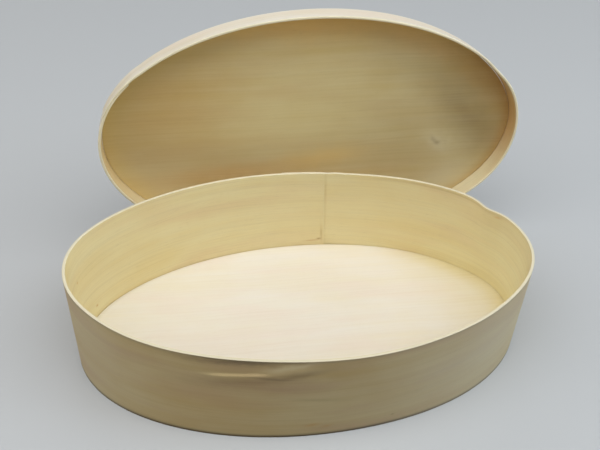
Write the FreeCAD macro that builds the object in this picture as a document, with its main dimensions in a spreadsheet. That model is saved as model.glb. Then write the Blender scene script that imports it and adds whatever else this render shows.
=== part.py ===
import FreeCAD, Part
import math
import os

# Oval box of thin pale veneer: a shallow open tray, and its lid standing behind it.
# Each half is one strip of veneer bent round an oval, its two thinned ends lapped and glued,
# with a flat oval panel glued inside one edge of the strip.
# The origin is the middle of the tray's underside, X runs along the tray and Z is up.

doc = FreeCAD.newDocument("oval_box")

# Driving sizes, in millimetres and degrees
sheet = doc.addObject("Spreadsheet::Sheet", "sizes")
driving_sizes = [
    ("tray_length", 240.0, "outside length of the tray"),
    ("tray_width", 142.0, "outside width of the tray"),
    ("tray_height", 56.0, "height of the tray's strip"),
    ("tray_veneer", 1.5, "thickness of the tray's strip"),
    ("tray_floor_thick", 1.5, "thickness of the tray's floor"),
    ("tray_lap_angle", 79.5, "where the tray strip's inner end lies, round the oval from +X"),
    ("tray_lap_length", 25.0, "how far the tray strip's ends overlap"),
    ("lid_clearance", 0.7, "gap all round between the tray and the lid pushed onto it"),
    ("lid_depth", 12.0, "height of the lid's strip"),
    ("lid_veneer", 1.5, "thickness of the lid's strip"),
    ("lid_top_thick", 1.5, "thickness of the lid's panel"),
    ("lid_lap_angle", 147.5, "where the lid strip's inner end lies, round the lid's oval"),
    ("lid_lap_length", 25.0, "how far the lid strip's ends overlap"),
    ("lap_rise", 0.4, "extra thickness left where two thinned ends lie on each other"),
    ("lap_ramp", 9.0, "length over which a strip climbs onto its own inner end"),
    ("glue_line", 0.1, "gap filled with glue round the edge of each panel"),
    ("lid_lean", 4.0, "how far the standing lid leans back from upright"),
    ("lid_turn", 1.0, "how far the standing lid is turned from the tray's long axis"),
    ("lid_shift", 17.0, "how far the standing lid is set along the tray's long axis"),
    ("foot_gap", 0.3, "gap between the tray's back wall and the foot of the standing lid"),
]
for row, (name, value, meaning) in enumerate(driving_sizes, start=1):
    sheet.set(f"A{row}", meaning)
    sheet.set(f"B{row}", str(value))
    sheet.setAlias(f"B{row}", name)
doc.recompute()

# Points along each short curve where a strip climbs onto its own end
RAMP_STEPS = 8


def oval_arc(half_x, half_y, first, last):
    """Stretch of an oval between two angles in degrees."""
    oval = Part.Ellipse(FreeCAD.Vector(0, 0, 0), half_x, half_y)
    return oval.toShape(math.radians(first), math.radians(last))


def oval_point(half_x, half_y, angle):
    """Point of an oval at an angle in degrees."""
    turn = math.radians(angle)
    return FreeCAD.Vector(half_x * math.cos(turn), half_y * math.sin(turn), 0)


def climb(half_x, half_y, rise, first, last):
    """Smooth curve that leaves an oval at one angle and lies outside it by rise at the other."""
    points = []
    for step in range(RAMP_STEPS + 1):
        share = step / RAMP_STEPS
        lift = rise * share * share * (3 - 2 * share)
        points.append(oval_point(half_x + lift, half_y + lift, first + (last - first) * share))
    curve = Part.BSplineCurve()
    curve.interpolate(points)
    return curve.toShape()


def degrees_along(length, half_x, half_y, angle):
    """Degrees of the oval that a length along it takes up, near an angle."""
    turn = math.radians(angle)
    return math.degrees(length / math.hypot(half_x * math.sin(turn), half_y * math.cos(turn)))


def strip_section(half_x, half_y, veneer, lap_angle, lap_length, lap_rise, lap_ramp):
    """Flat section of a strip bent round an oval: its inner end shows as a small step inside,
    and its outer end as another outside, one lap further round."""
    inner_end = lap_angle
    outer_end = lap_angle + degrees_along(lap_length, half_x, half_y, lap_angle)
    meets = lap_angle + 360
    leaves = meets - degrees_along(lap_ramp, half_x, half_y, lap_angle)
    in_x = half_x - veneer
    in_y = half_y - veneer
    lap_x = half_x + lap_rise
    lap_y = half_y + lap_rise
    inside = [
        oval_arc(in_x, in_y, inner_end, leaves),
        climb(in_x, in_y, lap_rise, leaves, meets),
        Part.makeLine(oval_point(in_x + lap_rise, in_y + lap_rise, meets),
                      oval_point(in_x, in_y, inner_end)),
    ]
    outside = [
        oval_arc(half_x, half_y, outer_end, leaves),
        climb(half_x, half_y, lap_rise, leaves, meets),
        oval_arc(lap_x, lap_y, inner_end, outer_end),
        Part.makeLine(oval_point(lap_x, lap_y, outer_end), oval_point(half_x, half_y, outer_end)),
    ]
    return Part.makeFace([Part.Wire(outside), Part.Wire(inside)], "Part::FaceMakerBullseye")


def bent_strip(name, height, **bindings):
    """One strip: a section that reads its sizes from the sheet, raised to the strip's height."""
    section = doc.addObject("Part::Feature", f"{name}_section")
    for size_name, expression in bindings.items():
        section.addProperty("App::PropertyFloat", size_name, "Strip")
        section.setExpression(size_name, expression)
    doc.recompute()
    section.Shape = strip_section(
        section.HalfLength, section.HalfWidth, section.Veneer, section.LapAngle,
        section.LapLength, section.LapRise, section.LapRamp)
    strip = doc.addObject("Part::Extrusion", name)
    strip.Label = name
    strip.Base = section
    strip.DirMode = "Custom"
    strip.Dir = FreeCAD.Vector(0, 0, 1)
    strip.setExpression("LengthFwd", height)
    return section, strip


def oval_panel(name, section, thickness):
    """One flat panel that fits inside a strip, short of it by the glue line."""
    outline = doc.addObject("Part::Ellipse", f"{name}_outline")
    strip = section.Name
    outline.setExpression("MajorRadius", f"{strip}.HalfLength - {strip}.Veneer - sizes.glue_line")
    outline.setExpression("MinorRadius", f"{strip}.HalfWidth - {strip}.Veneer - sizes.glue_line")
    panel = doc.addObject("Part::Extrusion", name)
    panel.Label = name
    panel.Base = outline
    panel.DirMode = "Custom"
    panel.Dir = FreeCAD.Vector(0, 0, 1)
    panel.Solid = True
    panel.setExpression("LengthFwd", thickness)
    return panel


# Tray: the deep strip and its floor, glued in flush with the strip's lower edge
tray_section, tray_band = bent_strip(
    "tray_band", "sizes.tray_height",
    HalfLength="sizes.tray_length / 2",
    HalfWidth="sizes.tray_width / 2",
    Veneer="sizes.tray_veneer",
    LapAngle="sizes.tray_lap_angle",
    LapLength="sizes.tray_lap_length",
    LapRise="sizes.lap_rise",
    LapRamp="sizes.lap_ramp")
tray_floor = oval_panel("tray_floor", tray_section, "sizes.tray_floor_thick")

# Lid: the shallow strip, which slips over the outside of the tray's, and its panel.
# It is drawn lying on its panel with its mouth up.
lid_section, lid_band = bent_strip(
    "lid_band", "sizes.lid_depth",
    HalfLength="sizes.tray_length / 2 + sizes.lid_clearance + sizes.lid_veneer",
    HalfWidth="sizes.tray_width / 2 + sizes.lid_clearance + sizes.lid_veneer",
    Veneer="sizes.lid_veneer",
    LapAngle="sizes.lid_lap_angle",
    LapLength="sizes.lid_lap_length",
    LapRise="sizes.lap_rise",
    LapRamp="sizes.lap_ramp")
lid_top = oval_panel("lid_top", lid_section, "sizes.lid_top_thick")


def size(name):
    """Number in the sheet's cell of that name."""
    return float(sheet.get(name))


# The lid stands on its long edge behind the tray, its mouth to the front and leaning back,
# with the foot of its rim against the tray's back wall and its panel's lower edge on the table.
lean = math.radians(size("lid_lean"))
turn = math.radians(size("lid_turn"))
back_wall = tray_section.HalfWidth + size("lap_rise") + size("foot_gap")
behind = (size("lid_depth") * math.cos(lean)
          + lid_section.HalfWidth * math.sin(lean)
          + size("lid_shift") * math.sin(turn))
stands_at = FreeCAD.Vector(
    size("lid_shift"), back_wall + behind, lid_section.HalfWidth * math.cos(lean))
tipped_up = FreeCAD.Rotation(FreeCAD.Vector(1, 0, 0), 90 - size("lid_lean"))
turned = FreeCAD.Rotation(FreeCAD.Vector(0, 0, 1), size("lid_turn"))
for piece in (lid_band, lid_top):
    piece.Placement = FreeCAD.Placement(stands_at, turned.multiply(tipped_up))

doc.recompute()

for item in doc.Objects:
    if "Invalid" in item.State or "Error" in item.State:
        raise RuntimeError(f"{item.Label} did not recompute: {item.State}")

sub_parts = (tray_band, tray_floor, lid_band, lid_top)
for piece in sub_parts:
    if piece.Shape.isNull() or not piece.Shape.isValid():
        raise RuntimeError(f"{piece.Label} has no valid shape")
    if len(piece.Shape.Solids) != 1:
        raise RuntimeError(f"{piece.Label} is not one solid")

os.makedirs("parts", exist_ok=True)
for piece in sub_parts:
    piece.Shape.exportStep(f"parts/{piece.Label}.step")
    box = piece.Shape.BoundBox
    print(f"{piece.Label}: volume {piece.Shape.Volume:.0f} mm3, "
          f"X {box.XMin:.1f} to {box.XMax:.1f}, Y {box.YMin:.1f} to {box.YMax:.1f}, "
          f"Z {box.ZMin:.1f} to {box.ZMax:.1f}")
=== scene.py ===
import math

import bpy
import numpy as np
from mathutils import Matrix, Vector


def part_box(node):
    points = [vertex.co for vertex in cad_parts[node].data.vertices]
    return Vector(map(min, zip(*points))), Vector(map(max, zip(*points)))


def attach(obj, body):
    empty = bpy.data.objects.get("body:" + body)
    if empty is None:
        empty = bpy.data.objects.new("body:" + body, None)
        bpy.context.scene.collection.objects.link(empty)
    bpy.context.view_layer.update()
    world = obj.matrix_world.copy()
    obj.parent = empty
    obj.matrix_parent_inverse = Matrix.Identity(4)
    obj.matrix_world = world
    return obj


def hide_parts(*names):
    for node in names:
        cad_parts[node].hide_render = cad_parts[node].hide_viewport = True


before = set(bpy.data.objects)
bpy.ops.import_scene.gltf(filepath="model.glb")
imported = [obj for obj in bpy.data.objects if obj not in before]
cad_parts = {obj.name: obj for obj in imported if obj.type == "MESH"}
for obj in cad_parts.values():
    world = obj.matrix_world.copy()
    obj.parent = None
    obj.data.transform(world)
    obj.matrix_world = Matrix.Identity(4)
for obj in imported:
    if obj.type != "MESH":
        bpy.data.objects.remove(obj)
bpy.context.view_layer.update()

# Tray strip.
# One long strip of pale veneer, steamed, bent round an oval form and glued to itself at the back,
# where its two thinned ends overlap. It has sprung a little out of true and is creased in front.
MM = 0.001
glue_gap = 0.03 * MM
edge_round = 0.25 * MM
rounding = np.radians([0, 30, 60, 90])
column_degrees = 0.5
lap_rise = 0.4 * MM
lap_ramp_degrees = 4.5
lap_risen_degrees = 358
fade_power = 6
crisp_edge_degrees = 50


def smooth(value, first, last):
    """0 before first, 1 after last, and the cubic 3t^2 - 2t^3 of the share between them."""
    share = np.clip((value - first) / (last - first), 0, 1)
    return share * share * (3 - 2 * share)


def stretch(value, first, full, fading, last):
    """0 before first, 1 from full to fading and 0 after last, eased between them."""
    return smooth(value, first, full) * (1 - smooth(value, fading, last))


def hump(away, spread):
    """Bell curve, exp of minus half the square of away over spread: 1 where away is 0."""
    return np.exp(-0.5 * (away / spread) ** 2)


def degrees_past(angle, middle):
    """How far round the oval an angle lies past a middle, from -180 to 180 degrees."""
    return (angle - middle + 180) % 360 - 180


def swell(angle, bulges):
    """Sum over the bulges of the height times a bell curve of the angle from the bulge's middle.
    A bulge is (middle in degrees, spread in degrees, height in millimetres)."""
    total = np.zeros_like(angle)
    for middle, spread, height in bulges:
        total = total + height * MM * hump(degrees_past(angle, middle), spread)
    return total


class Strip:
    """Sizes of a strip bent round an oval: the half axes of its outer face, its height and veneer,
    the angle of its inner end, the degrees that its ends overlap by, its inner end's slant, how
    round its edges are, and the bulges of its rim and of its foot."""

    def __init__(self, half_x, half_y, height, veneer, lap_angle, lap_degrees, slant, edge_round,
                 rim_bulges, foot_bulges):
        self.half_x = half_x
        self.half_y = half_y
        self.height = height
        self.veneer = veneer
        self.lap_angle = lap_angle
        self.lap_degrees = lap_degrees
        self.slant = slant
        self.edge_round = edge_round
        self.rim_bulges = rim_bulges
        self.foot_bulges = foot_bulges

    def foot_warp(self, angle):
        """How far the foot stands out from the true oval."""
        return swell(angle, self.foot_bulges)

    def warp(self, angle, up):
        """How far the wall stands out: the foot's bulges, giving way evenly to the rim's."""
        up_share = up / self.height
        return up_share * swell(angle, self.rim_bulges) + (1 - up_share) * self.foot_warp(angle)

    def run(self, angle):
        """Lengths along the oval from the inner end, from a running sum of the chords of angles."""
        turn = np.radians(angle)
        chords = np.hypot(self.half_x * np.diff(np.cos(turn)), self.half_y * np.diff(np.sin(turn)))
        return np.concatenate([[0], np.cumsum(chords)])

    def outside(self, angle, up):
        """Millimetres along and across the grain of a spot of the outer face: its angle in degrees
        and its height in millimetres."""
        angle = (angle - self.lap_angle) % 360 + self.lap_angle
        chord_ends = 721
        along = self.run(np.linspace(self.lap_angle, angle, chord_ends))[-1]
        return along / MM, up - self.edge_round / MM

    def inside(self, angle, up):
        """The same for a spot of the inner face, past the outer face and over the rim."""
        along, across = self.outside(angle, up)
        over_rim = self.veneer + (math.pi - 2) * self.edge_round
        return along, (2 * self.height - 4 * self.edge_round + over_rim) / MM - across


def mesh_piece(name, points, faces, face_uvs, marks):
    """New object of the scene from worked-out points, faces, a grain map and named point marks."""
    mesh = bpy.data.meshes.new(name)
    mesh.from_pydata(points, [], faces)
    grain = mesh.uv_layers.new(name="grain")
    grain.uv.foreach_set("vector", np.asarray(face_uvs, np.float32).ravel())
    for mark, values in marks.items():
        layer = mesh.attributes.new(mark, "FLOAT", "POINT")
        layer.data.foreach_set("value", np.asarray(values, np.float32))
    mesh.validate()
    mesh.shade_smooth()
    mesh.set_sharp_from_angle(angle=math.radians(crisp_edge_degrees))
    piece = bpy.data.objects.new(name, mesh)
    bpy.context.scene.collection.objects.link(piece)
    return piece


def strip_rows(strip, levels, angle, under):
    """Offset from the outer oval and height of each row at each angle. Rows go up the outer face,
    over the rim, down the inner face and under. The offset is 0 outside and minus the veneer
    inside, and each end thins to the rise as it meets the other. Also which rows lie outside, and
    which on a cut edge."""
    over = np.clip((angle - strip.lap_angle - 360) / strip.lap_degrees, 0, 1)
    risen = strip.lap_angle + lap_risen_degrees
    climb = lap_rise * smooth(angle, risen - lap_ramp_degrees, risen)
    scarf = strip.veneer - lap_rise
    outer = climb - (scarf + glue_gap) * (1 - under)
    inner = climb - strip.veneer + scarf * over

    widest_round = 0.4
    corner = np.minimum(strip.edge_round, widest_round * (outer - inner))
    side = corner + (strip.height - 2 * corner) * levels
    inward = corner * (1 - np.cos(rounding))
    foot = corner * (1 - np.sin(rounding))
    top = strip.height - foot
    outer_edge = outer - inward
    inner_edge = inner + inward
    count = len(levels)
    steps = len(rounding) - 1
    offset = np.hstack([np.repeat(outer, count, 1), outer_edge[:, 1:], inner_edge[:, :0:-1],
                        np.repeat(inner, count, 1), inner_edge[:, 1:], outer_edge[:, :0:-1]])
    up = np.hstack([side, top[:, 1:], top[:, :0:-1], side[:, ::-1], foot[:, 1:], foot[:, :0:-1]])
    lengths = [count, steps, steps, count, steps, steps]
    outside = np.repeat([1.0, 1.0, 0.0, 0.0, 0.0, 1.0], lengths)
    cut = np.repeat([0.0, 1.0, 1.0, 0.0, 1.0, 1.0], lengths)
    return offset, up, outside, cut


def end_faces(ring, count):
    """Faces that close an end of a strip: quads from the outer face to the inner one, and one face
    each within the rounded rim and the rounded foot."""
    inner_first = count + 2 * (len(rounding) - 1)
    inner_last = inner_first + count - 1
    faces = [[ring[row], ring[row + 1], ring[inner_last - row - 1], ring[inner_last - row]]
             for row in range(count - 1)]
    faces.append(ring[count - 1:inner_first + 1])
    faces.append(ring[inner_last:] + ring[:1])
    return faces


def strip_piece(name, strip, levels, relief, rim_wave, place):
    """Closed skin of a strip bent round an oval. Columns go from the inner end once round and on
    over the lap. A point is (half_x + reach) cos, (half_y + reach) sin of its angle, where the
    reach is the row's offset plus the strip's warp and the relief of its outer face. The rim's wave
    dies away below the rim, as the share of the height to the fade power, and the inner end's slant
    dies away along its lap."""
    last_angle = strip.lap_angle + 360 + strip.lap_degrees
    columns = int((last_angle - strip.lap_angle) / column_degrees) + 1
    angle = np.linspace(strip.lap_angle, last_angle, columns)[:, None]
    under = np.clip((angle - strip.lap_angle) / strip.lap_degrees, 0, 1)
    offset, up, outside, cut = strip_rows(strip, levels, angle, under)
    rows = offset.shape[1]

    up_share = up / strip.height
    slant_fades_at = 0.6
    leaning = angle + (strip.slant * (1 - up_share) * (1 - smooth(under, 0, slant_fades_at))
                       * (under < 1))
    reach = offset + strip.warp(leaning, up) + relief(leaning, up) * (outside * (1 - cut))
    turn = np.radians(leaning)
    points = np.stack([(strip.half_x + reach) * np.cos(turn), (strip.half_y + reach) * np.sin(turn),
                       up + rim_wave(leaning) * up_share ** fade_power], 2)

    along = strip.run(angle[:, 0])
    around = np.stack([offset, up], 2)
    row_steps = np.linalg.norm(np.diff(around, axis=1, append=around[:, :1]), axis=2)[columns // 2]
    across = np.concatenate([[0], np.cumsum(row_steps)])
    grain = np.stack(np.meshgrid(along, across, indexing="ij"), 2)
    uvs = np.stack([grain[:-1, :-1], grain[1:, :-1], grain[1:, 1:], grain[:-1, 1:]], 2)

    number = np.arange(columns * rows).reshape(columns, rows)
    here = number[:-1]
    ahead = number[1:]
    quads = np.stack([here, ahead, np.roll(ahead, -1, 1), np.roll(here, -1, 1)], 2)
    faces = quads.reshape(-1, 4).tolist()
    end_uvs = []
    for column, order in ((0, 1), (columns - 1, -1)):
        for face in end_faces(number[column].tolist(), len(levels)):
            faces.append(face[::order])
            end_uvs.extend((along[column], up.flat[point]) for point in face[::order])
    return mesh_piece(name, place(points.reshape(-1, 3)), faces,
                      np.concatenate([uvs.reshape(-1, 2), end_uvs]),
                      {"inside": np.tile(1 - outside, columns), "cut": np.tile(cut, columns)})


class Amount:
    """One output of a finish. Sums, differences and products with it add Math nodes."""

    def __init__(self, finish, output):
        self.finish = finish
        self.output = output

    def worked(self, operation, *values):
        numbered = dict(enumerate(values))
        return self.finish.node("ShaderNodeMath", {"operation": operation}, numbered)

    def __add__(self, other):
        return self.worked("ADD", self, other)

    __radd__ = __add__

    def __sub__(self, other):
        return self.worked("SUBTRACT", self, other)

    def __rsub__(self, other):
        return self.worked("SUBTRACT", other, self)

    def __mul__(self, other):
        return self.worked("MULTIPLY", self, other)

    __rmul__ = __mul__

    def exp(self):
        return self.worked("EXPONENT", self)

    def between(self, first, last):
        """0 where this is first, 1 where it is last, eased between them and held beyond."""
        values = {"Value": self, "From Min": first, "From Max": last}
        return self.finish.node("ShaderNodeMapRange", {"interpolation_type": "SMOOTHSTEP"}, values)


class Finish:
    """The emptied node tree of a material or of the room, and the one method that adds to it."""

    def __init__(self, tree):
        self.tree = tree
        self.tree.nodes.clear()

    def node(self, kind, settings, values, output=0):
        node = self.tree.nodes.new(kind)
        for setting, value in settings.items():
            setattr(node, setting, value)
        for socket, value in values.items():
            if isinstance(value, Amount):
                self.tree.links.new(value.output, node.inputs[socket])
            else:
                node.inputs[socket].default_value = value
        return Amount(self, node.outputs[output]) if node.outputs else None

    def mark(self, name):
        """The mesh's own mark of that name, from 0 to 1."""
        return self.node("ShaderNodeAttribute", {"attribute_name": name}, {}, "Fac")


def new_material(name):
    """Material with a node tree."""
    material = bpy.data.materials.new(name)
    material.use_nodes = True
    return material


def paint(red, green, blue):
    """Colour of 0 to 255 parts as a picture shows it, in the linear parts that a shader takes."""
    parts = np.array([red, green, blue]) / 255
    linear = np.where(parts <= 0.04045, parts / 12.92, ((parts + 0.055) / 1.055) ** 2.4)
    return (*linear.tolist(), 1.0)


def mixed(share, first, second):
    """Colour between two others."""
    settings = {"data_type": "RGBA"}
    return share.finish.node("ShaderNodeMix", settings, {0: share, 6: first, 7: second}, 2)


def cloud(along, across, slice_at, long, wide, detail=2.0):
    """Noise from 0 to 1 in grains about so many millimetres long and wide, on one slice of it."""
    finish = along.finish
    place = finish.node("ShaderNodeCombineXYZ", {}, {
        0: along * (1 / (long * MM)), 1: across * (1 / (wide * MM)), 2: slice_at})
    return finish.node("ShaderNodeTexNoise", {},
                       {"Vector": place, "Scale": 1.0, "Detail": detail, "Roughness": 0.55})


def bell(grain, along, across, long, wide, tilt=0):
    """1 at a spot of the grain map, falling as exp of minus the square of the distance from it,
    in lengths along and widths across a line tilted by so many degrees. Sizes are in millimetres."""
    finish = grain.finish
    local = finish.node("ShaderNodeMapping", {"vector_type": "TEXTURE"}, {
        "Vector": grain,
        "Location": (along * MM, across * MM, 0),
        "Rotation": (0, 0, math.radians(tilt)),
        "Scale": (long * MM, wide * MM, 1)})
    squared = finish.node("ShaderNodeVectorMath", {"operation": "DOT_PRODUCT"}, {0: local, 1: local}, 1)
    return (squared * -1.0).exp()


def wandering(grain):
    """The grain map moved about by slow noise, up to 4 mm along and 2 mm across either way."""
    finish = grain.finish
    drift = finish.node("ShaderNodeTexNoise", {}, {"Vector": grain, "Scale": 110.0, "Detail": 2.0}, 1)
    centred = finish.node("ShaderNodeVectorMath", {"operation": "SUBTRACT"},
                          {0: drift, 1: (0.5, 0.5, 0.5)})
    return finish.node("ShaderNodeVectorMath", {"operation": "MULTIPLY_ADD"},
                       {0: centred, 1: (8 * MM, 4 * MM, 0), 2: grain})


def veneer_finish(name, outer, inner, cut_face, dark, figure, stains_and_painted_shading=(), edge_stains_and_painted_shading=(), knots=(),
                  seed=0.0):
    """Bare sanded veneer. Each face has three colours: pale wood, golden bands along the grain and
    rosy clouds. Over them lie fine lines, fibres and short pores, whose strength is the figure. The
    lines bend round pin knots. Stains and painted light and shade, painted highlights, shadows and
    bounced light among them, are each (along, across, long, wide, tilt, colour, strength); those at
    the edge are (first and last share of the way out, first and last place along, colour, strength);
    and a knot is (along, across, size), all in millimetres on the grain map. Another seed gives
    another sheet of veneer."""
    material = new_material(name)
    finish = Finish(material.node_tree)
    grain = finish.node("ShaderNodeUVMap", {"uv_map": "grain"}, {})
    along = finish.node("ShaderNodeSeparateXYZ", {}, {0: grain}, 0)
    across = finish.node("ShaderNodeSeparateXYZ", {}, {0: grain}, 1)
    inside = finish.mark("inside")
    cut = finish.mark("cut")

    # How far across the grain each fine line runs: it wanders by 3 mm, and parts round a knot
    bent = across + (cloud(along, across, seed + 3.1, 90, 30) - 0.5) * (6 * MM)
    for knot_along, knot_across, knot_size in knots:
        near = bell(grain, knot_along, knot_across, 4.0 * knot_size, 1.6 * knot_size)
        bent = bent - near * (across - knot_across * MM) * 0.75
    bands = cloud(along, bent, seed, 500, 8)
    lines = cloud(along, bent, seed + 1.7, 70, 1.1, 3.0)
    fibres = cloud(along, bent, seed + 2.3, 12, 0.35)
    pores = cloud(along, bent, seed + 5.9, 5, 0.22, 1.0).between(0.66, 0.78)
    golden = cloud(along, across, seed + 8.2, 45, 25)
    rosy = cloud(along, across, seed + 11.4, 60, 14)

    pale, gold, rose = [mixed(inside, *colours) for colours in zip(outer, inner)]
    gold_share = bands.between(0.3, 0.75) * 0.45 + golden.between(0.35, 0.7) * 0.45
    rose_share = rosy.between(0.42, 0.75) * 0.8
    wood = mixed(gold_share, pale, gold)
    wood = mixed(rose_share, wood, rose)

    # A stain soaks in along the lines, and painted light and shade are laid along them the same way; a
    # wide one has an uneven outline
    streaky = 0.7 + lines * 0.6
    uneven = wandering(grain)
    uneven_from = 1.5
    for spot_along, spot_across, long, wide, tilt, colour, strength in stains_and_painted_shading:
        outline = uneven if min(long, wide) >= uneven_from else grain
        near = bell(outline, spot_along, spot_across, long, wide, tilt)
        wood = mixed(near * streaky * strength, wood, colour)
    if edge_stains_and_painted_shading:
        edge = finish.mark("edge")
        for out_first, out_last, first, last, colour, strength in edge_stains_and_painted_shading:
            near = edge.between(out_first, out_last) * along.between(first * MM, last * MM)
            wood = mixed(near * inside * streaky * strength, wood, colour)

    shade = lines.between(0.4, 0.8) * 0.14 + fibres.between(0.5, 0.8) * 0.10 + pores * 0.30
    shade = shade * figure
    for knot_along, knot_across, knot_size in knots:
        shade = shade + bell(grain, knot_along, knot_across, 0.8 * knot_size, 0.5 * knot_size) * 0.36
    wood = mixed(shade, wood, dark)
    wood = mixed(cut * 0.85, wood, cut_face)

    height = lines * 0.4 + fibres * 0.45 - pores * 0.6
    bump = finish.node("ShaderNodeBump", {},
                       {"Strength": 0.5, "Distance": 0.12 * MM, "Height": height})
    shader = finish.node("ShaderNodeBsdfPrincipled", {}, {
        "Base Color": wood,
        "Roughness": 0.62 + lines * 0.08 + cut * 0.1,
        "Specular IOR Level": 0.35,
        "Normal": bump})
    finish.node("ShaderNodeOutputMaterial", {}, {"Surface": shader})
    return material


tray_low, tray_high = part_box("tray_band")
tray_strip = Strip(
    half_x=tray_high.x, half_y=-tray_low.y, height=tray_high.z, veneer=1.5 * MM,
    lap_angle=79.5, lap_degrees=12.0, slant=-1.4, edge_round=edge_round,
    rim_bulges=[
        (50, 13, 1.4),
        (37, 5, 0.6),
        (24, 3.6, -2.5),
        (100, 12, 0.4),
        (166, 13, 1.3),
        (208, 12, -0.9),
        (281, 13, 1.2),
        (324, 9, -0.5),
        (350, 9, 0.4),
    ],
    foot_bulges=[
        (15, 12, 3.5),
        (45, 22, 3.5),
        (135, 27, -2.8),
        (218, 14, 0.5),
        (278, 18, -1.0),
    ])


def tray_crease(angle, up):
    """Relief of the outer face in front. Under the rim the wood is pressed in, as far down as a
    ledge that slants up to the right and stands proud. A groove runs close under the rim, and at
    the ledge's right end a low round fold leaves it and climbs towards the rim. Places round the
    oval are in degrees, and depths below the rim in millimetres."""
    below = (tray_strip.height - up) / MM
    ledge = 11.2 - 2.3 * smooth(angle, 242, 259)
    half_ledge = 0.7
    ledge_here = stretch(angle, 240, 248, 254.5, 259)
    hollow = stretch(below, 0.1, 3.0, ledge - half_ledge, ledge + half_ledge)
    lip = stretch(below, ledge - half_ledge, ledge + half_ledge, ledge + half_ledge, ledge + 7)
    groove_here = stretch(angle, 238, 244, 262, 268)
    groove = stretch(below, 0.1, 1.1, 1.5, 4)
    fold_here = stretch(angle, 254, 259, 264, 271)
    fold_crest = 9.2 - 3.6 * smooth(angle, 256, 269)
    fold = hump(below - fold_crest, 2.3)
    relief = ledge_here * (0.34 * lip - 0.42 * hollow) - 0.22 * groove_here * groove
    return (relief + 0.44 * fold_here * fold) * MM


def tray_rim_wave(angle):
    """How far the rim rises and dips: two slow waves, and a small dip beside the seam."""
    turn = np.radians(angle)
    seam_dip = 0.30 * hump(degrees_past(angle, 78.6), 0.9)
    return (0.08 * np.sin(3 * turn + 0.6) + 0.06 * np.sin(7 * turn + 2.0) - seam_dip) * MM


def as_it_lies(points):
    """The tray's pieces are worked out where they stand."""
    return points


# Rows stand close together in the upper third, where the crease is
tray_levels = np.concatenate([
    [0, 0.005],
    np.linspace(0.06, 0.66, 10),
    np.linspace(0.675, 0.995, 42),
    [1],
])
tray_wall = strip_piece("tray_wall", tray_strip, tray_levels, tray_crease, tray_rim_wave, as_it_lies)
shadow_brown = paint(92, 76, 52)
dull_rose = paint(168, 136, 108)
honey = paint(196, 160, 96)
amber = paint(196, 138, 62)
all_along = 9000
tray_wall_stains_and_painted_shading = [
    # All along the foot and the rim, painted shade: a dark contact shadow along the foot and a grey
    # shade line just under the rim's edge
    (300, 0.3, all_along, 1.4, 0, paint(66, 54, 38), 0.90),
    (300, 55.2, all_along, 1.0, 0, paint(120, 108, 96), 0.35),
    # About the crease, painted shade and highlights: painted shade under the rim and, with a rosy tint,
    # below the ledge; a painted highlight on the ledge; painted shade under its right end and under the
    # fold; and a painted highlight on the fold
    (*tray_strip.outside(251, 53.6), 26, 1.7, 0, paint(98, 82, 72), 0.62),
    (*tray_strip.outside(250, 40.0), 26, 3.4, 4, paint(150, 118, 88), 0.40),
    (*tray_strip.outside(250, 46.0), 18, 1.2, 5, paint(214, 200, 156), 0.26),
    (*tray_strip.outside(257.5, 44.4), 8, 0.9, -6, shadow_brown, 0.36),
    (*tray_strip.outside(263.5, 46.2), 12, 1.8, 14, paint(128, 98, 68), 0.36),
    (*tray_strip.outside(262.0, 51.6), 11, 1.5, 14, paint(232, 220, 178), 0.40),
    # Clouds, a streak and flecks of the front, and painted light that makes its right and left ends
    # paler, where the side lamps fall
    (*tray_strip.outside(245, 24), 24, 10, 0, honey, 0.30),
    (*tray_strip.outside(262, 37), 20, 5, 0, dull_rose, 0.28),
    (*tray_strip.outside(268.6, 28), 15, 1.2, -8, shadow_brown, 0.13),
    (*tray_strip.outside(267.5, 8.9), 3.5, 1.2, 10, amber, 0.35),
    (*tray_strip.outside(271, 7), 2.5, 1.0, 10, amber, 0.30),
    (*tray_strip.outside(318, 30), 60, 40, 0, paint(214, 207, 186), 0.50),
    (*tray_strip.outside(203, 30), 30, 40, 0, paint(212, 204, 180), 0.35),
    # The seam inside: a pale line along the thinned end, paler wood each side, and a darker line in the
    # step beside it
    (0.2, tray_strip.inside(80, 29)[1], 30, 0.45, 90, paint(242, 234, 196), 0.55),
    (*tray_strip.inside(438.8, 44), 10, 0.60, 92.8, paint(196, 170, 104), 0.25),
    (*tray_strip.inside(436, 22), 44, 28, 0, paint(249, 238, 190), 0.50),
    (*tray_strip.inside(84, 22), 44, 28, 0, paint(249, 238, 190), 0.50),
    (1.7, tray_strip.inside(80, 11)[1], 6, 0.55, 91, paint(184, 156, 96), 0.45),
    (3.0, tray_strip.inside(80, 6.3)[1], 1.2, 0.6, 10, paint(160, 112, 48), 0.62),
    (6.5, tray_strip.inside(80, 5.0)[1], 3.5, 0.5, 4, amber, 0.40),
    # Inside, a fleck by the bend in the rim and a line of painted shade under the rim beside it, and
    # clouds and flecks at the two ends
    (*tray_strip.inside(19, 53.0), 2.0, 0.8, 12, paint(214, 168, 92), 0.60),
    (*tray_strip.inside(40, 54.3), 34, 0.8, 0, paint(176, 150, 84), 0.36),
    (*tray_strip.inside(163, 28), 40, 34, 0, paint(218, 200, 152), 0.35),
    (*tray_strip.inside(8, 24), 44, 34, 0, paint(232, 230, 192), 0.42),
    (*tray_strip.inside(161, 8.1), 0.8, 0.6, 0, amber, 0.7),
    (*tray_strip.inside(169.9, 35.1), 0.7, 0.6, 0, amber, 0.5),
]
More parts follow.
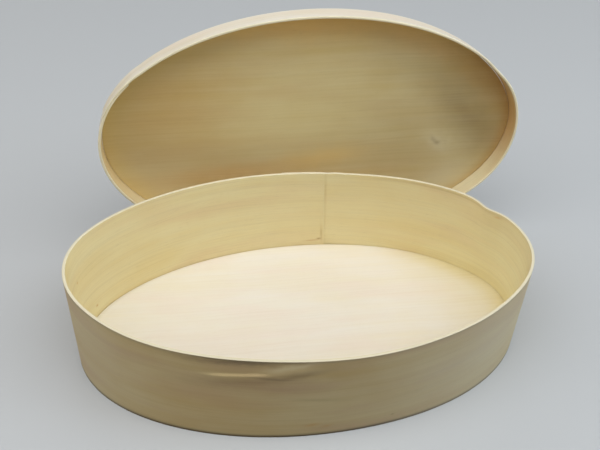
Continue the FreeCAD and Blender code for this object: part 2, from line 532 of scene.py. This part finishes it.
tray_wall.data.materials.append(veneer_finish(
    "bent veneer of the tray",
    # Both faces are the same veneer: the outer colours are darker as painted shade, and the inner
    # colours paler as painted light
    outer=(paint(205, 186, 139), paint(192, 163, 107), paint(193, 164, 125)),
    inner=(paint(237, 225, 179), paint(230, 210, 151), paint(230, 208, 161)),
    cut_face=paint(234, 226, 198),
    dark=paint(128, 100, 62),
    figure=0.62,
    stains_and_painted_shading=tray_wall_stains_and_painted_shading,
    knots=[(*tray_strip.outside(287.2, 7.1), 1.1)]))
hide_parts("tray_band")
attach(tray_wall, "tray")

# Tray floor.
# A flat oval of the palest veneer, cut to fit inside the strip and glued flush with its lower edge.
# It is nearly white, with faint yellow clouds, and yellower and darker towards the right end,
# partly glue that has crept in and partly painted shade cast by the right wall.
tray_floor_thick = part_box("tray_floor")[1].z
glue_line = 0.15 * MM
underside_shift = 0.3
panel_turns = 360
panel_rings = 48


def panel_piece(name, strip, thick, ripple, place):
    """Closed flat oval that fits inside a strip. Rows run from the middle of the upper face out to
    the edge, round it and back to the middle below. A point is its share of the half axes, grown by
    the warp of the strip's foot, times cos and sin of the angle, and the upper face rises by the
    ripple, which dies away at the edge. The underside has another part of the grain."""
    half_x = strip.half_x - strip.veneer - glue_line
    half_y = strip.half_y - strip.veneer - glue_line
    angle = np.linspace(0, 360, panel_turns, endpoint=False)[:, None]
    turn = np.radians(angle)
    out = np.sqrt(np.linspace(0, 1, panel_rings + 1)[1:-1])
    flat = np.zeros(panel_rings - 1)
    share_above = np.concatenate([out, np.ones(len(rounding))])
    inset_above = np.concatenate([flat, -edge_round * (1 - np.sin(rounding))])
    drop_above = np.concatenate([flat, edge_round * (1 - np.cos(rounding))])
    share = np.concatenate([share_above, share_above[::-1]])
    inset = np.concatenate([inset_above, inset_above[::-1]])
    level = np.concatenate([thick - drop_above, drop_above[::-1]])
    upper = np.repeat([1.0, 0.0], len(share_above))
    edge_rows = 2 * len(rounding) - 2
    rim = np.repeat([0.0, 1.0, 0.0], [panel_rings, edge_rows, panel_rings])

    grow = strip.foot_warp(angle) + inset
    flat_x = share * (half_x + grow) * np.cos(turn)
    flat_y = share * (half_y + grow) * np.sin(turn)
    up = level + upper * ripple(flat_x, flat_y) * (1 - share ** fade_power)
    sheet = np.stack([flat_x, flat_y, up], 2).reshape(-1, 3)
    middles = [[0, 0, thick + ripple(0.0, 0.0)], [0, 0, 0]]
    points = np.concatenate([sheet, middles])

    number = np.arange(len(sheet)).reshape(panel_turns, -1)
    ahead = np.roll(number, -1, 0)
    quads = np.stack([number[:, :-1], number[:, 1:], ahead[:, 1:], ahead[:, :-1]], 2).reshape(-1, 4)
    top_fan = np.stack([np.full(panel_turns, len(sheet)), number[:, 0], ahead[:, 0]], 1)
    low_fan = np.stack([np.full(panel_turns, len(sheet) + 1), ahead[:, -1], number[:, -1]], 1)
    faces = quads.tolist() + top_fan.tolist() + low_fan.tolist()
    corners = np.concatenate([quads.ravel(), top_fan.ravel(), low_fan.ravel()])
    marks = {
        "inside": np.concatenate([np.tile(upper, panel_turns), [1, 0]]),
        "cut": np.concatenate([np.tile(rim, panel_turns), [0, 0]]),
        "edge": np.concatenate([np.tile(share, panel_turns), [0, 0]]),
    }
    grain = points[:, :2].copy()
    grain[:, 1] += underside_shift * (1 - marks["inside"])
    return mesh_piece(name, place(points), faces, grain[corners], marks)


def floor_ripple(x, y):
    """Slow waves of a thin sheet, a fraction of a millimetre high."""
    return 0.12 * MM * (np.sin(31 * x + 9 * y) + np.cos(52 * y - 17 * x + 1.0))


tray_bottom = panel_piece("tray_bottom", tray_strip, tray_floor_thick, floor_ripple, as_it_lies)
tray_bottom.data.materials.append(veneer_finish(
    "pale veneer of the tray's floor",
    outer=(paint(228, 218, 192), paint(218, 200, 160), paint(222, 204, 176)),
    inner=(paint(242, 238, 229), paint(240, 232, 210), paint(241, 231, 219)),
    cut_face=paint(232, 220, 190),
    dark=paint(180, 150, 106),
    figure=0.40,
    stains_and_painted_shading=[
        # Yellower at the right end, partly glue and partly painted shade by the right wall, and a cloud
        # at the front left
        (104, 26, 22, 34, 20, paint(232, 221, 176), 0.34),
        (92, 44, 26, 8, -28, paint(230, 218, 170), 0.28),
        (-30, -34, 40, 14, 0, paint(236, 226, 198), 0.35),
    ],
    # Yellow towards the right end, partly glue and partly painted shade by the right wall, and a faint
    # darker line all round, partly glue and partly painted shade where the floor meets the wall
    edge_stains_and_painted_shading=[
        (0.87, 1.0, 50, 100, paint(224, 208, 146), 0.58),
        (0.97, 1.0, -140, -139, paint(172, 158, 112), 0.20),
    ],
    seed=20.0))
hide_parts("tray_floor")
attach(tray_bottom, "tray")

# Lid strip.
# A narrow strip of the same veneer, bent round an oval one veneer and a running gap larger, so that
# it slips over the tray's rim. The lid stands on its long edge behind the tray and leans back.
lid_lean = math.radians(4.0)
lid_turn = math.radians(1.0)
lid_clearance = 0.7 * MM
lid_veneer = 1.5 * MM
lid_panel_thick = 1.5 * MM
lid_strip = Strip(
    half_x=tray_strip.half_x + lid_clearance + lid_veneer,
    half_y=tray_strip.half_y + lid_clearance + lid_veneer,
    height=12.0 * MM, veneer=lid_veneer,
    lap_angle=147.5, lap_degrees=16.5, slant=0.0, edge_round=0.55 * MM,
    rim_bulges=[
        (18, 6, 0.5),
        (31.5, 3, -0.5),
        (152, 10, 0.5),
        (335, 8, 0.8),
    ],
    foot_bulges=[
        (38, 16, -1.0),
        (152, 10, 0.2),
        (335, 8, 0.3),
    ])
lid_standing = (Matrix.Rotation(lid_turn, 3, "Z")
                @ Matrix.Rotation(math.pi / 2 - lid_lean, 3, "X"))
panel_low, panel_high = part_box("lid_top")
# The middle of the panel's outer face, which the lid's own measures start from
lid_middle = (panel_low + panel_high) / 2 - lid_standing @ Vector((0, 0, lid_panel_thick / 2))


def stand_up(points):
    """From the lid lying on its panel, mouth up, to where it stands behind the tray."""
    return points @ np.array(lid_standing).T + np.array(lid_middle)


def no_relief(angle, up):
    """A strip without a crease."""
    return 0 * angle


def lid_rim_wave(angle):
    """How far the lid's rim rises and dips: two slow waves."""
    turn = np.radians(angle)
    return (0.07 * np.sin(4 * turn + 1.1) + 0.05 * np.sin(9 * turn + 0.4)) * MM


lid_levels = np.concatenate([[0, 0.02], np.linspace(0.08, 0.92, 12), [0.98, 1]])
lid_wall = strip_piece("lid_wall", lid_strip, lid_levels, no_relief, lid_rim_wave, stand_up)
lid_wall.data.materials.append(veneer_finish(
    "bent veneer of the lid",
    # The outer face is paler and less yellow than the inner, partly bleached wood and partly painted
    # light on its lit top
    outer=(paint(237, 230, 214), paint(229, 214, 182), paint(234, 221, 202)),
    inner=(paint(232, 220, 182), paint(222, 200, 150), paint(224, 204, 166)),
    cut_face=paint(248, 238, 204),
    dark=paint(138, 104, 62),
    figure=0.7,
    # Painted warm shade and bounced light inside at the two ends, pale towards the foot, and flecks at
    # the seam
    stains_and_painted_shading=[
        (*lid_strip.inside(6, 5), 34, 12, 0, paint(196, 138, 44), 0.62),
        (*lid_strip.inside(327, 5), 21, 12, 0, paint(230, 228, 194), 0.50),
        (*lid_strip.inside(192, 5), 28, 10, 0, paint(206, 164, 86), 0.56),
        (*lid_strip.inside(224, 5), 28, 12, 0, paint(236, 228, 186), 0.42),
        (*lid_strip.inside(150, 10.5), 2.5, 1.2, 0, amber, 0.8),
        (*lid_strip.outside(163, 10.5), 1.6, 1.2, 0, amber, 0.5),
    ],
    seed=40.0))
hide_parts("lid_band")
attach(lid_wall, "lid")

# Lid panel.
# A flat oval of veneer glued inside the far edge of the lid's strip, its grain along the oval. Painted
# light and shade lie on it: warm painted shade and bounced light towards its edge, painted light
# along its upper edge and low down, and a painted shadow at the right. It has one pin knot with
# parted fibres.
def lid_ripple(x, y):
    """Slow waves of a thin sheet, a fraction of a millimetre high."""
    return 0.15 * MM * (np.sin(27 * x - 12 * y + 0.7) + np.cos(44 * y + 15 * x))


lid_panel = panel_piece("lid_panel_sheet", lid_strip, lid_panel_thick, lid_ripple, stand_up)
knot_along = 77.3
knot_across = -12.0
lid_panel.data.materials.append(veneer_finish(
    "veneer of the lid's panel",
    outer=(paint(230, 220, 194), paint(218, 200, 156), paint(222, 204, 172)),
    inner=(paint(221, 204, 154), paint(209, 184, 122), paint(212, 188, 136)),
    cut_face=paint(232, 220, 190),
    dark=paint(140, 108, 66),
    figure=0.52,
    stains_and_painted_shading=[
        # Painted warm shade at the left, and painted light along the upper edge, lifting the strip's
        # shadow there
        (-88, 22, 46, 44, 0, paint(206, 160, 82), 0.46),
        (-5, 67, 96, 10, 0, paint(255, 210, 132), 0.80),
        (58, 56, 36, 8, -25, paint(255, 214, 144), 0.60),
        # Painted light bounced up from the tray along the lower part, warm in the middle, then clouds
        # and bands of the lower half and the middle
        (-25, -40, 64, 14, 0, paint(252, 212, 138), 0.58),
        (-92, -38, 34, 18, 0, paint(250, 228, 172), 0.60),
        (-48, -24, 40, 6, 5, paint(220, 164, 84), 0.32),
        (8, -17, 26, 6, 5, paint(250, 210, 128), 0.50),
        (-14, 8, 56, 24, 2, paint(228, 220, 168), 0.26),
        (50, 6, 36, 30, 0, paint(176, 160, 120), 0.24),
        (86, -40, 24, 12, 30, paint(242, 232, 192), 0.50),
        # A painted shadow at the right, cast by the strip, and painted warm shade beyond it, next to
        # the strip
        (92, 8, 36, 13, -50, paint(130, 106, 70), 0.48),
        (60, 40, 34, 13, -20, paint(150, 130, 88), 0.22),
        (103, 27, 34, 9, -44, paint(196, 148, 74), 0.50),
        # About the knot
        (knot_along, knot_across, 9.5, 5.0, -40, paint(238, 228, 192), 0.42),
        (knot_along - 1.8, knot_across + 1.5, 4.0, 1.6, -40, paint(150, 124, 86), 0.34),
    ],
    # Painted warm light along the left part of the edge, lifting the shade there, and painted warm
    # shade in the corner at the right
    edge_stains_and_painted_shading=[
        (0.86, 1.0, 110, 20, paint(230, 204, 126), 0.30),
        (0.93, 1.0, 60, 110, paint(190, 136, 60), 0.34),
    ],
    knots=[(knot_along, knot_across, 2.4)],
    seed=60.0))
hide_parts("lid_top")
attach(lid_panel, "lid")

# Table and light.
# A plain pale table that runs out into an even pale background, broad soft lamps overhead and to
# the sides, weaker ones in front and behind, and a dim even room.
half_table = 3.0
table_fades_from = 0.35
table_gone_by = 1.5
background = paint(190, 193, 195)


def seen_directly(finish):
    """1 for what the camera sees, straight or through a shiny or clear surface, and 0 for light."""
    straight, shiny, clear = [
        finish.node("ShaderNodeLightPath", {}, {}, kind)
        for kind in ("Is Camera Ray", "Is Glossy Ray", "Is Transmission Ray")]
    return straight + shiny + clear


table_mesh = bpy.data.meshes.new("table")
table_mesh.from_pydata(
    [(-half_table, -half_table, 0), (half_table, -half_table, 0),
     (half_table, half_table, 0), (-half_table, half_table, 0)], [], [(0, 1, 2, 3)])
table = bpy.data.objects.new("table", table_mesh)
bpy.context.scene.collection.objects.link(table)
pale_table = new_material("pale table")
table_finish = Finish(pale_table.node_tree)
table_seen = seen_directly(table_finish)
table_place = table_finish.node("ShaderNodeTexCoord", {}, {}, "Object")
table_far = table_finish.node("ShaderNodeVectorMath", {"operation": "LENGTH"}, {0: table_place}, 1)
table_matt = table_finish.node("ShaderNodeBsdfDiffuse", {}, {
    "Color": mixed(table_seen, paint(134, 137, 139), paint(198, 201, 203))})
table_glow = table_finish.node("ShaderNodeEmission", {}, {"Color": background, "Strength": 1.0})
table_fade = table_far.between(table_fades_from, table_gone_by)
table_shader = table_finish.node("ShaderNodeMixShader", {}, {
    0: table_seen * table_fade, 1: table_matt, 2: table_glow})
table_finish.node("ShaderNodeOutputMaterial", {}, {"Surface": table_shader})
table_mesh.materials.append(pale_table)


def soft_lamp(name, place, aim, width, depth, power, colour=(1.0, 1.0, 1.0)):
    """Rectangular lamp at a place, turned to face its aim. Its sides are in metres and its power in
    watts."""
    light = bpy.data.lights.new(name, "AREA")
    light.shape = "RECTANGLE"
    light.size = width
    light.size_y = depth
    light.energy = power
    light.color = colour
    lamp = bpy.data.objects.new(name, light)
    lamp.location = place
    lamp.rotation_euler = (Vector(aim) - lamp.location).to_track_quat("-Z", "Y").to_euler()
    bpy.context.scene.collection.objects.link(lamp)


soft_lamp("overhead_lamp", (0.0, -0.3, 1.25), (0.0, 0.0, 0.0), 3.0, 0.9, 17.0)
soft_lamp("front_lamp", (0.0, -0.9, 1.1), (0.0, 0.0, 0.0), 3.0, 0.9, 2.8)
soft_lamp("right_lamp", (1.6, -0.3, 0.5), (0.0, 0.0, 0.05), 0.8, 0.8, 9.0, (0.72, 0.87, 1.0))
soft_lamp("left_lamp", (-1.6, -0.1, 0.8), (0.0, 0.0, 0.05), 0.8, 0.8, 4.4, (1.0, 0.98, 0.94))
soft_lamp("back_lamp", (0.0, 1.6, 1.0), (0.0, 0.1, 0.05), 1.2, 0.8, 4.0)

world = bpy.data.worlds.new("room")
bpy.context.scene.world = world
world.use_nodes = True
room = Finish(world.node_tree)
room_light = room.node("ShaderNodeBackground", {}, {
    "Color": mixed(seen_directly(room), paint(112, 112, 112), background), "Strength": 1.0})
room.node("ShaderNodeOutputWorld", {}, {"Surface": room_light})

# Camera.
# It looks down on the tray from the front and a little from the left, as the photograph does, and
# is held a little askew.
camera_data = bpy.data.cameras.new("camera")
camera_data.lens = 46.27
camera_data.sensor_width = 36.0
camera_data.clip_start = 0.01
camera = bpy.data.objects.new("camera", camera_data)
camera.location = (-0.0551, -0.2909, 0.3158)
looks_at = Vector((0.00663, 0.05689, 0.028))
camera_roll = math.radians(2.90)
aim = (looks_at - camera.location).to_track_quat("-Z", "Y").to_matrix()
camera.rotation_euler = (aim @ Matrix.Rotation(camera_roll, 3, "Z")).to_euler()
bpy.context.scene.collection.objects.link(camera)
bpy.context.scene.camera = camera
bpy.context.scene.view_settings.view_transform = "Standard"
